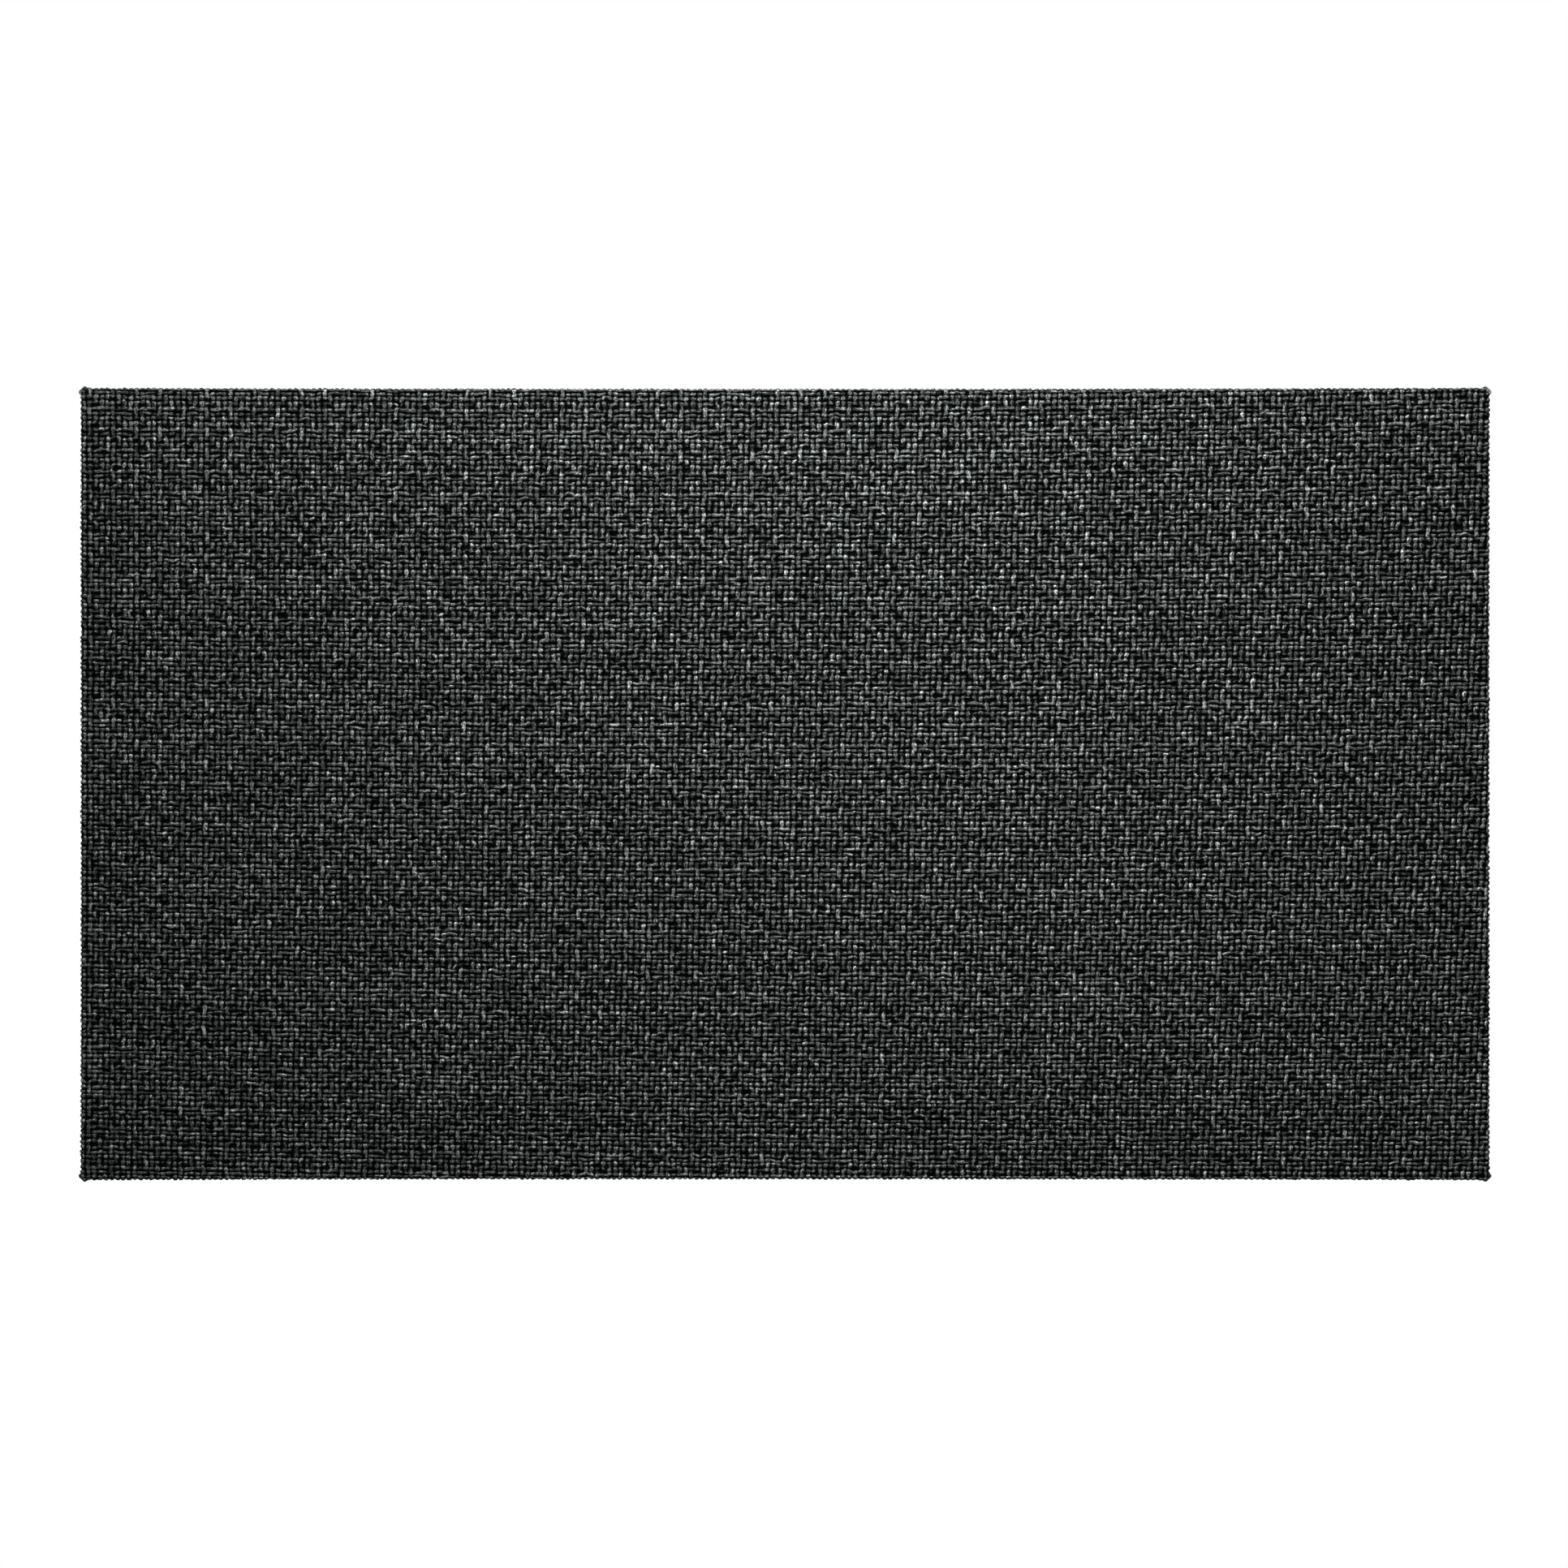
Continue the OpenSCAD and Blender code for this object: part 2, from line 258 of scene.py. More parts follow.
def mesh_object(name, points, faces, smooth=True):
    """An object from an array of points and an array of faces with the same number of corners."""
    mesh = bpy.data.meshes.new(name)
    corners = faces.shape[1]
    mesh.vertices.add(len(points))
    mesh.vertices.foreach_set("co", points.astype(np.float32).ravel())
    mesh.loops.add(faces.size)
    mesh.loops.foreach_set("vertex_index", faces.astype(np.int32).ravel())
    mesh.polygons.add(len(faces))
    mesh.polygons.foreach_set("loop_start", np.arange(0, faces.size, corners, dtype=np.int32))
    mesh.polygons.foreach_set("use_smooth", np.full(len(faces), smooth))
    mesh.update(calc_edges=True)
    return add_object(name, mesh)


def grid_faces(rows, columns, keep):
    index = np.arange(rows * columns).reshape(rows, columns)
    faces = np.stack([index[:-1, :-1], index[:-1, 1:], index[1:, 1:], index[1:, :-1]], axis=-1)
    return faces[keep]


def used_only(points, faces, *extra):
    used, faces = np.unique(faces, return_inverse=True)
    return [points[used], faces.reshape(-1, 4)] + [e[used] for e in extra]


# ---------------------------------------- the crown, by cloth simulation

SIM_STEP = 5.5 * MM
SIM_FRAMES = 18
FACE_CROWN = 1.2 * MM  # the most that the face may stand proud
SIDE_CROWN = 0.35 * MM
SINK_IN = 0.1 * MM  # the most that the face may sink


def cut_lines(half, past, pitch):
    """Grid lines across a cut, with one on each fold and some of the cloth past it."""
    middle = np.linspace(-half, half, 2 * round(half / pitch) + 1)
    side = np.linspace(0, past, round(past / pitch) + 1)[1:]
    return np.concatenate([-half - side[::-1], middle, half + side])


def simulate_crown():
    """The pull of the foam on the cover: a displacement for each crossing of the sim's grid."""
    s_knots, t_knots = (cut_lines(half, DEPTH, SIM_STEP) for half in (HALF_W, HALF_H))
    s, t = np.meshgrid(s_knots, t_knots)
    place, _ = wrap(s, t)
    keep = ~((np.abs(s) > HALF_W + 1e-6) & (np.abs(t) > HALF_H + 1e-6))
    cell = keep[:-1, :-1] & keep[1:, :-1] & keep[:-1, 1:] & keep[1:, 1:]
    points = place.reshape(-1, 3)
    _, first, weld = np.unique(np.round(points, 6), axis=0, return_index=True, return_inverse=True)
    weld = weld.reshape(-1)
    faces = weld[grid_faces(*s.shape, cell)]
    used, packed = np.unique(faces, return_inverse=True)
    shell = mesh_object("crown_shell", points[first][used], packed.reshape(-1, 4))
    rim = shell.vertex_groups.new(name="held")
    back = [i for i, k in enumerate(used) if points[first][k][1] > HEM_Y - 2 * EDGE_R]
    rim.add(back, 1.0, "REPLACE")
    cloth = shell.modifiers.new("cloth", "CLOTH")
    settings = {"quality": 6, "mass": 0.4, "tension_stiffness": 60, "compression_stiffness": 60,
                "shear_stiffness": 20, "bending_stiffness": 8, "vertex_group_mass": "held",
                "use_pressure": True, "uniform_pressure_force": 4}
    for key, value in settings.items():
        setattr(cloth.settings, key, value)
    cloth.settings.effector_weights.gravity = 0
    cloth.point_cache.frame_end = SIM_FRAMES
    scene = bpy.context.scene
    for number in range(1, SIM_FRAMES + 1):
        scene.frame_set(number)
    depsgraph = bpy.context.evaluated_depsgraph_get()
    after = np.empty(len(used) * 3, np.float32)
    shell.evaluated_get(depsgraph).data.vertices.foreach_get("co", after)
    scene.frame_set(1)
    full = np.zeros((len(first), 3))
    full[used] = after.reshape(-1, 3) - points[first][used]
    moved = full[weld].reshape(s.shape + (3,))
    moved[~keep] = 0
    bpy.data.objects.remove(shell, do_unlink=True)
    depth_share = moved[..., 1] / max(np.abs(moved[..., 1]).max(), 1e-6)
    moved[..., 1] = np.minimum(FACE_CROWN * np.tanh(2.6 * depth_share), SINK_IN)
    side = moved[..., [0, 2]]
    moved[..., [0, 2]] = SIDE_CROWN * np.tanh(side / max(np.abs(side).max(), 1e-6) * 2)
    return s_knots, t_knots, moved


def sample(crown, s, t):
    """The crown's displacement at points of the cut, by bilinear interpolation."""
    s_knots, t_knots, moved = crown
    column = np.clip(np.searchsorted(s_knots, s, side="right") - 1, 0, len(s_knots) - 2)
    row = np.clip(np.searchsorted(t_knots, t, side="right") - 1, 0, len(t_knots) - 2)
    a = np.clip((s - s_knots[column]) / (s_knots[column + 1] - s_knots[column]), 0, 1)[..., None]
    b = np.clip((t - t_knots[row]) / (t_knots[row + 1] - t_knots[row]), 0, 1)[..., None]
    low = moved[row, column] * (1 - a) + moved[row, column + 1] * a
    high = moved[row + 1, column] * (1 - a) + moved[row + 1, column + 1] * a
    return low * (1 - b) + high * b


# ---------------------------------------- staples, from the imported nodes

def islands(node_name):
    """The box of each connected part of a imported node's mesh: its low and its high corner."""
    bm = bmesh.new()
    bm.from_mesh(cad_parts[node_name].data)
    seen, boxes = set(), []
    for start in bm.verts:
        if start.index in seen:
            continue
        stack, points = [start], []
        seen.add(start.index)
        while stack:
            vert = stack.pop()
            points.append(vert.co[:])
            for edge in vert.link_edges:
                other = edge.other_vert(vert)
                if other.index not in seen:
                    seen.add(other.index)
                    stack.append(other)
        points = np.array(points)
        boxes.append((points.min(0), points.max(0)))
    bm.free()
    return np.array(boxes)


CLEAR = 0.06 * MM  # the least gap between the cloth and the board
DIMPLE = 0.55 * MM  # how deep a staple pulls into the cloth
DIMPLE_R = 2.6 * MM
DIMPLE_SHADE = 0.6  # how dark the cloth gets under a staple


def staple_pull(place, staples):
    """How deep each point of a back surface is pulled in by the staples near it."""
    pulled = np.zeros(len(place))
    for low, high in staples:
        off = np.maximum(np.abs(place[:, [0, 2]] - (low + high)[[0, 2]] / 2) - (high - low)[[0, 2]] / 2, 0)
        pulled = np.maximum(pulled, np.exp(-(off ** 2).sum(1) / DIMPLE_R ** 2))
    return pulled


# ---------------------------------------- the cover

LEAST_AREA = 1e-10  # smaller faces, squeezed flat by a seam, are left out
SEAM_DEPTH = 0.5 * MM
SEAM_W = 1.3 * MM
STITCH_PITCH = 4 * MM


def lay_cloth(s, t, height, crown, tall):
    """Points of the cover for one set of flaps, and how far each one is in the shadow of a seam."""
    s, t, near, past = fold_limits(s, t, tall)
    place, normal = wrap(s, t)
    place = place + sample(crown, s, t)
    begun = step(-0.5 * MM, 1.2 * MM, past)
    at_seam = begun * np.exp(-(near / SEAM_W) ** 2)
    pucker = 1 + 0.25 * np.cos(2 * np.pi * past / STITCH_PITCH)
    flat = step(0, 1.4 * MM, near + np.clip(-past, 0, None))
    sunk = RELIEF * (height * flat - 0.75 * (1 - flat)) - SEAM_DEPTH * at_seam * pucker
    return place + normal * sunk[..., None], begun * np.clip(1 - near / (1.6 * MM), 0, 1)


def make_cover(crown, staples):
    reach_s, reach_t = HALF_W + DEPTH + HEM_W, HALF_H + DEPTH + HEM_W
    corners = [yarn_count(a * reach_s, b * reach_t) for a in (-1, 0, 1) for b in (-1, 0, 1)]
    first_u, last_u = (f(c[0] for c in corners) for f in (min, max))
    first_v, last_v = (f(c[1] for c in corners) for f in (min, max))
    first_u, first_v = math.floor(first_u) - 1, math.floor(first_v) - 1
    ends, picks = math.ceil(last_u) + 2 - first_u, math.ceil(last_v) + 2 - first_v
    each = len(PHASES)
    u = (first_u + np.arange(ends)[:, None] + PHASES[None, :]).ravel()
    v = (first_v + np.arange(picks)[:, None] + PHASES[None, :]).ravel()
    height, warp_on_top, tone = weave(first_u, ends, first_v, picks)

    # Yarns wander a little from side to side between their neighbours
    random = np.random.default_rng(SEED + 1)
    sway_u = 0.10 * smooth_noise(random, picks * each, ends, 1.2 * each)
    sway_v = 0.11 * smooth_noise(random, ends * each, picks, 1.2 * each).T
    beaten = np.array(PICK_SHIFT[::-1])[np.arange(first_v, first_v + picks) % len(DRAFT)]
    sway_v = sway_v + beaten[:, None]
    sway_u = np.repeat(sway_u, each, axis=1)
    sway_v = np.repeat(sway_v, each, axis=0)
    sway_u[:, ::each] = (sway_u[:, ::each] + np.roll(sway_u[:, ::each], 1, axis=1)) / 2
    sway_v[::each] = (sway_v[::each] + np.roll(sway_v[::each], 1, axis=0)) / 2
    s, t = cut_place(u[None, :] + sway_u, v[:, None] + sway_v)

    rows, columns = s.shape
    wide, tall = flap_quads(s, t)
    side_points, side_shadow = lay_cloth(s, t, height, crown, False)
    tall_points, tall_shadow = lay_cloth(s, t, height, crown, True)
    differ = np.abs(side_points - tall_points).max(axis=-1).ravel() > 1e-7
    tall_faces = grid_faces(rows, columns, tall)
    tall_faces = np.where(differ[tall_faces], tall_faces + rows * columns, tall_faces)
    faces = np.concatenate([grid_faces(rows, columns, wide), tall_faces])
    points = np.concatenate([side_points.reshape(-1, 3), tall_points.reshape(-1, 3)])
    weave_at = np.stack([*np.meshgrid(u, v), warp_on_top.astype(float)], axis=-1).reshape(-1, 3)
    yarn_at = np.concatenate([
        np.stack([tone, -height, shadow], axis=-1).reshape(-1, 3) for shadow in (side_shadow, tall_shadow)
    ])
    points, faces, weave_at, yarn_at = used_only(points, faces, np.tile(weave_at, (2, 1)), yarn_at)
    a, b, c, d = (points[faces[:, i]] for i in range(4))
    area = np.linalg.norm(np.cross(c - a, d - b), axis=1) / 2
    faces = faces[area > LEAST_AREA]
    points, faces, weave_at, yarn_at = used_only(points, faces, weave_at, yarn_at)

    hem = points[:, 1] > HEM_Y - HEM_THICK
    pulled = staple_pull(points[hem], staples)
    points[hem, 1] = np.maximum(points[hem, 1] - DIMPLE * pulled, board_back + CLEAR)
    yarn_at[hem, 2] = np.maximum(yarn_at[hem, 2], DIMPLE_SHADE * pulled)

    cover = mesh_object("woven_cloth_cover", points, faces)
    for name, values in (("weave", weave_at), ("yarn", yarn_at)):
        layer = cover.data.attributes.new(name, "FLOAT_VECTOR", "POINT")
        layer.data.foreach_set("vector", values.astype(np.float32).ravel())
    return cover


# ---------------------------------------- seam thread

THREAD_R = 0.24 * MM


def add_stitch(curve, points):
    """One stitch: a smooth spline through its points, which start and end inside the cloth."""
    spline = curve.splines.new("BEZIER")
    spline.bezier_points.add(len(points) - 1)
    for knot, point in zip(spline.bezier_points, points):
        knot.co = point
        knot.handle_left_type = knot.handle_right_type = "AUTO"


def corner_stitches(curve, side_x, side_z):
    """The ladder stitches that close a depth edge, from the front to the back."""
    sunk = 0.35 * MM
    across = [(-sunk, 2.0), (0.12 * MM, 1.35), (None, 0), (0.12 * MM, 1.35), (-sunk, 2.0)]
    for y in np.arange(FRONT_Y + 1.5 * MM, HEM_Y - 1.5 * MM, STITCH_PITCH):
        points = []
        for step_number, (proud, back) in enumerate(across):
            if proud is None:
                x, z = HALF_W - 0.55 * MM, HALF_H - 0.55 * MM
            elif step_number < 2:
                x, z = HALF_W + proud, HALF_H - back * MM
            else:
                x, z = HALF_W - back * MM, HALF_H + proud
            lean = 0.35 * MM * step_number
            points.append((CENTRE_X + side_x * x, y + lean, CENTRE_Z + side_z * z))
        add_stitch(curve, points)


def mitre_stitches(curve, side_x, side_z, bumpers):
    """The stitches across the hem's mitre, which leave out what the bumper covers."""
    for inset in np.arange(2.2 * MM, HEM_W, 0.7 * STITCH_PITCH):
        x, z = HALF_W - inset, HALF_H - inset
        place = np.array([CENTRE_X + side_x * x, CENTRE_Z + side_z * z])
        if min(np.abs(place - bumper).max() for bumper in bumpers) < 6 * MM:
            continue
        points = []
        for off, proud in ((-1.9, -0.4), (-1.2, 0.1), (0, -0.15), (1.2, 0.1), (1.9, -0.4)):
            shift = off * MM / math.sqrt(2)
            points.append((place[0] + side_x * shift, HEM_Y + proud * MM, place[1] - side_z * shift))
        add_stitch(curve, points)


def make_thread():
    curve = bpy.data.curves.new("seam_thread", "CURVE")
    curve.dimensions = "3D"
    curve.bevel_depth = THREAD_R
    curve.bevel_resolution = 2
    curve.resolution_u = 4
    curve.use_fill_caps = True
    boxes = [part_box(name) for name in BUMPERS]
    bumpers = [np.array([(low.x + high.x) / 2, (low.z + high.z) / 2]) for low, high in boxes]
    for side_x in (-1, 1):
        for side_z in (-1, 1):
            corner_stitches(curve, side_x, side_z)
            mitre_stitches(curve, side_x, side_z, bumpers)
    return add_object("seam_thread", curve)


# ---------------------------------------- dust cover

DUST_STEP = 1.3 * MM
TURNED = 8 * MM  # how much of each edge is turned under
DUST_THICK = 0.3 * MM
OVER_BOARD = 0.4 * MM  # the sheet's height over the board, and over the hem
OVER_HEM = 0.6 * MM
UNDER_LAYER = 0.2 * MM  # the turned part's height over the hem
DUST_PULL = 0.25 * MM


def dust_wrinkles(x, z, staples):
    """Small folds that run from each staple, and slack waves between them."""
    random = np.random.default_rng(SEED + 2)
    wave = np.zeros(x.shape)
    for _ in range(7):
        turn, pitch = random.uniform(0, math.pi), random.uniform(26, 70) * MM
        along = (x * math.cos(turn) + z * math.sin(turn)) / pitch
        wave += 0.022 * MM * np.sin(2 * math.pi * along + random.uniform(0, 6))
    for low, high in staples:
        off_x, off_z = x - (low[0] + high[0]) / 2, z - (low[2] + high[2]) / 2
        away = np.hypot(off_x, off_z)
        fold = np.cos(5 * np.arctan2(off_z, off_x) + random.uniform(0, 6))
        wave += 0.11 * MM * fold * step(2.5 * MM, 6 * MM, away) * np.exp(-away / (7 * MM))
    return wave


def make_dust_cover(staples):
    half_w, half_h = (dust_high.x - dust_low.x) / 2, (dust_high.z - dust_low.z) / 2
    x_cut, z_cut = np.meshgrid(cut_lines(half_w, TURNED, DUST_STEP), cut_lines(half_h, TURNED, DUST_STEP))
    past_x = np.clip(np.abs(x_cut) - half_w, 0, None)
    past_z = np.clip(np.abs(z_cut) - half_h, 0, None)
    x = np.sign(x_cut) * (np.minimum(np.abs(x_cut), half_w) - past_x)
    z = np.sign(z_cut) * (np.minimum(np.abs(z_cut), half_h) - past_z)
    over_x, over_z = np.abs(x) - (HALF_W - HEM_W), np.abs(z) - (HALF_H - HEM_W)
    over = np.hypot(np.clip(over_x, 0, None), np.clip(over_z, 0, None))
    over = over + np.minimum(np.maximum(over_x, over_z), 0)
    on_hem = step(-2.2 * MM, 0.5 * MM, over)
    past = np.maximum(np.abs(x_cut) - half_w, np.abs(z_cut) - half_h)
    turned = step(-0.7 * MM, 0.7 * MM, past)
    x, z = x + CENTRE_X, z + CENTRE_Z
    wave = dust_wrinkles(x, z, staples) * (1 - turned)
    place = np.stack([x, np.zeros_like(x), z], axis=-1).reshape(-1, 3)
    pulled = staple_pull(place, staples).reshape(x.shape) * (1 - turned)
    top = (HEM_Y + OVER_HEM) * on_hem + (board_back + OVER_BOARD) * (1 - on_hem)
    y = top * (1 - turned) + (HEM_Y + UNDER_LAYER) * turned + wave - DUST_PULL * pulled
    corner = (past_x > 0) & (past_z > 0)
    keep = ~(corner[:-1, :-1] | corner[1:, :-1] | corner[:-1, 1:] | corner[1:, 1:])
    points, faces = used_only(np.stack([x, y, z], axis=-1).reshape(-1, 3), grid_faces(*x.shape, keep))
    made = mesh_object("dust_cover_sheet", points, faces)
    thicken = made.modifiers.new("thickness", "SOLIDIFY")
    thicken.thickness = DUST_THICK
    thicken.offset = 0
    return made


# ---------------------------------------- foam and felt

LAYER_GAP = 0.05 * MM  # keeps neighbouring layers apart
ROUND = 1.2 * MM


def block_lines(length, pitch):
    """Grid lines along one side of a soft block, closer together where its edge is rounded."""
    edge = ROUND * np.array([0, 0.3, 0.65])
    middle = np.linspace(ROUND, length - ROUND, max(2, round((length - 2 * ROUND) / pitch) + 1))
    return np.concatenate([edge, middle, length - edge[::-1]])


def soft_block(name, node_name, pitch, shaped=None):
    """A block of foam in its node's space, with rounded edges. shaped moves its points inwards."""
    low, high = (np.array(corner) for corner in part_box(node_name))
    low, high = low + LAYER_GAP, high - LAYER_GAP
    lines = [block_lines(length, pitch) for length in high - low]
    points, faces, first = [], [], 0
    for axis in range(3):
        a, b = (axis + 1) % 3, (axis + 2) % 3
        grid_a, grid_b = np.meshgrid(lines[a], lines[b])
        cells = np.ones((len(lines[b]) - 1, len(lines[a]) - 1), bool)
        for end in (low[axis], high[axis]):
            place = np.zeros(grid_a.shape + (3,))
            place[..., a], place[..., b], place[..., axis] = grid_a + low[a], grid_b + low[b], end
            made = grid_faces(*grid_a.shape, cells) + first
            faces.append(made if end == high[axis] else made[:, ::-1])
            points.append(place.reshape(-1, 3))
            first += grid_a.size
    points, faces = np.concatenate(points), np.concatenate(faces)
    _, kept, weld = np.unique(np.round(points, 6), axis=0, return_index=True, return_inverse=True)
    points, faces = points[kept], weld.reshape(-1)[faces]
    inner = np.clip(points, low + ROUND, high - ROUND)
    normal = points - inner
    normal /= np.linalg.norm(normal, axis=1, keepdims=True)
    points = inner + ROUND * normal
    if shaped:
        points = points - normal * shaped(points)[:, None]
    return mesh_object(name, points, faces)


def crumb_relief(points):
    """The crevices between the bonded chips of the core."""
    random = np.random.default_rng(SEED + 3)
    low, high = points.min(0), points.max(0)
    chip = 7 * MM
    count = int(np.prod((high - low) / chip + 1))
    tree = KDTree(count)
    for index, seed in enumerate(random.uniform(low, high, size=(count, 3))):
        tree.insert(seed, index)
    tree.balance()
    found = [tree.find_n(point, 2) for point in points]
    apart = np.array([pair[1][2] - pair[0][2] for pair in found])
    return 0.7 * MM * np.exp(-apart / (0.8 * MM))


def skin_relief(points):
    """The shallow unevenness of cut foam."""
    random = np.random.default_rng(SEED + 4)
    uneven = np.zeros(len(points))
    for _ in range(8):
        direction = random.normal(size=3)
        direction /= np.linalg.norm(direction)
        turns = points @ direction / random.uniform(9 * MM, 40 * MM)
        uneven += np.sin(2 * math.pi * turns + random.uniform(0, 6))
    return 0.02 * MM * (uneven + 8)


def make_felt(crown):
    """The felt fills the cover's crown: its front follows the cover's back."""
    made = soft_block("felt_wadding_sheet", "felt_wadding", 4 * MM, skin_relief)
    count = len(made.data.vertices)
    points = np.empty(count * 3, np.float32)
    made.data.vertices.foreach_get("co", points)
    points = points.reshape(-1, 3).astype(float)
    back, front = points[:, 1].max(), points[:, 1].min()
    raised = sample(crown, points[:, 0] - CENTRE_X, points[:, 2] - CENTRE_Z)[:, 1]
    points[:, 1] += 0.9 * np.minimum(raised, 0) * (back - points[:, 1]) / (back - front)
    made.data.vertices.foreach_set("co", points.astype(np.float32).ravel())
    made.data.update()
    return made


# ---------------------------------------- node materials

class Value:
    """One output of a shader node. Arithmetic on it adds the nodes that work it out."""

    def __init__(self, socket):
        self.socket = socket

    def __add__(self, other):
        return maths("ADD", self, other)

    def __sub__(self, other):
        return maths("SUBTRACT", self, other)

    def __rsub__(self, other):
        return maths("SUBTRACT", other, self)

    def __mul__(self, other):
        return maths("MULTIPLY", self, other)

    def __truediv__(self, other):
        return maths("DIVIDE", self, other)

    def __abs__(self):
        return maths("ABSOLUTE", self)

    __radd__, __rmul__ = __add__, __mul__


def tree_of(*values):
    """The node tree of the first node output among some values."""
    return next(value.socket.id_data for value in values if isinstance(value, Value))


def feed(socket, value):
    """Sets a socket to a number or colour, or links it to a node's output."""
    if isinstance(value, Value):
        socket.id_data.links.new(value.socket, socket)
    else:
        socket.default_value = value


def node(tree, kind, values=None, output=0, **settings):
    """Adds a shader node and returns one of its outputs."""
    made = tree.nodes.new("ShaderNode" + kind)
    for key, value in settings.items():
        setattr(made, key, value)
    for key, value in (values or {}).items():
        feed(made.inputs[key], value)
    return Value(made.outputs[output])


def maths(operation, *values, clamp=False):
    inputs = dict(enumerate(values))
    return node(tree_of(*values), "Math", inputs, operation=operation, use_clamp=clamp)


def smooth(value, low, high, to_low=0.0, to_high=1.0):
    """A soft step from to_low to to_high, while a value goes from low to high."""
    inputs = {"Value": value, "From Min": low, "From Max": high, "To Min": to_low, "To Max": to_high}
    return node(tree_of(value), "MapRange", inputs, interpolation_type="SMOOTHSTEP")


def blend(factor, a, b):
    """A colour between two others."""
    made = tree_of(factor, a, b).nodes.new("ShaderNodeMix")
    made.data_type = "RGBA"
    inputs = {socket.identifier: socket for socket in made.inputs}
    for key, value in (("Factor_Float", factor), ("A_Color", a), ("B_Color", b)):
        feed(inputs[key], value)
    return Value(next(socket for socket in made.outputs if socket.identifier == "Result_Color"))


def noise(vector, scale, detail=2.0, roughness=0.5, distortion=0.0):
    inputs = {"Vector": vector, "Scale": scale, "Detail": detail, "Roughness": roughness}
    return node(tree_of(vector), "TexNoise", {**inputs, "Distortion": distortion})


def stretched(vector, scale):
    return node(tree_of(vector), "Mapping", {"Vector": vector, "Scale": scale})


def parts(vector):
    """The three numbers of a vector."""
    first = node(tree_of(vector), "SeparateXYZ", {0: vector})
    return [Value(socket) for socket in first.socket.node.outputs]


def joined(x, y, z):
    return node(tree_of(x, y, z), "CombineXYZ", {0: x, 1: y, 2: z})


def position(tree):
    """The point on the object in its own frame, so that a pattern moves with its piece."""
    return node(tree, "TexCoord", output="Object")


def facing(tree, axis):
    """1 on the faces of a part that look along an axis (0 for X, 1 for Y), either way."""
    return smooth(abs(parts(node(tree, "TexCoord", output="Normal"))[axis]), 0.75, 0.95)


def grey(value):
    return (value, value, value, 1.0)


def material(name, roughness=0.5, metallic=0.0, **shader):
    """A material with a Principled shader, whose fixed values are set on its own sockets."""
    made = bpy.data.materials.new(name)
    made.use_nodes = True
    surface = made.node_tree.nodes["Principled BSDF"]
    surface.inputs["Roughness"].default_value = roughness
    surface.inputs["Metallic"].default_value = metallic
    for key, value in shader.items():
        surface.inputs[key.replace("_", " ")].default_value = value
    return made, made.node_tree, surface.inputs


def paint(surface, tone, tint=(1.0, 1.0, 1.0)):
    """Sets the base colour to a tint times a tone that varies over the surface."""
    channels = {number: tone * part for number, part in enumerate(tint)}
    feed(surface["Base Color"], node(tree_of(tone), "CombineColor", channels))


def bump(surface, height, distance, strength=1.0):
    """Gives a surface relief that is too fine for its mesh."""
    inputs = {"Height": height, "Distance": distance, "Strength": strength}
    feed(surface["Normal"], node(tree_of(height), "Bump", inputs))


YARN_TINT = (0.93, 1.0, 0.974)
YARN_TONE = 0.080  # how much light the yarn gives back, before its flecks and shadows
LANE_STEP = 3.7  # sets neighbouring yarns apart in the noise, so that each has its own pattern


